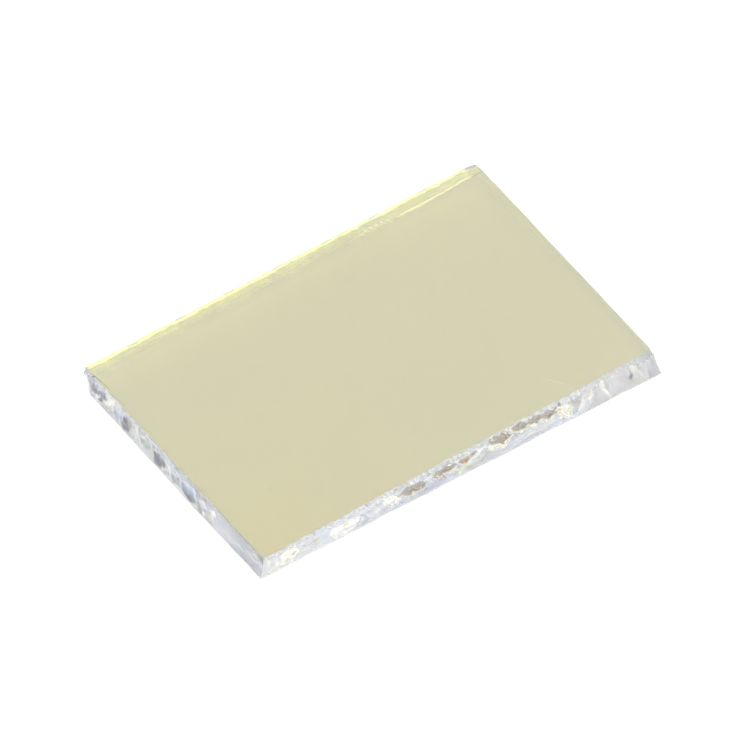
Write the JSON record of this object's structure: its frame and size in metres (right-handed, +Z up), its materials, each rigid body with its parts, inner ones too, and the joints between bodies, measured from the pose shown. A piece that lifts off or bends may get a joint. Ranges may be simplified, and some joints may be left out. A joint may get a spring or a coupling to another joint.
{
  "type": "plate beamsplitter",
  "caption": "Rectangular glass plate beamsplitter with a part-reflecting upper face and snapped, unpolished edges",
  "frame": {"origin": "centre of the lower face", "axes": "X runs along the length of the plate, Y across it and Z up, out of the coated face"},
  "size_m": [0.0466, 0.0306, 0.003],
  "materials": {
    "coated_glass": "polished faces, the upper one with a part-reflecting film, and raw snapped edges"
  },
  "bodies": {
    "root": {"beamsplitter_plate": "coated_glass"}
  },
  "joints": []
}
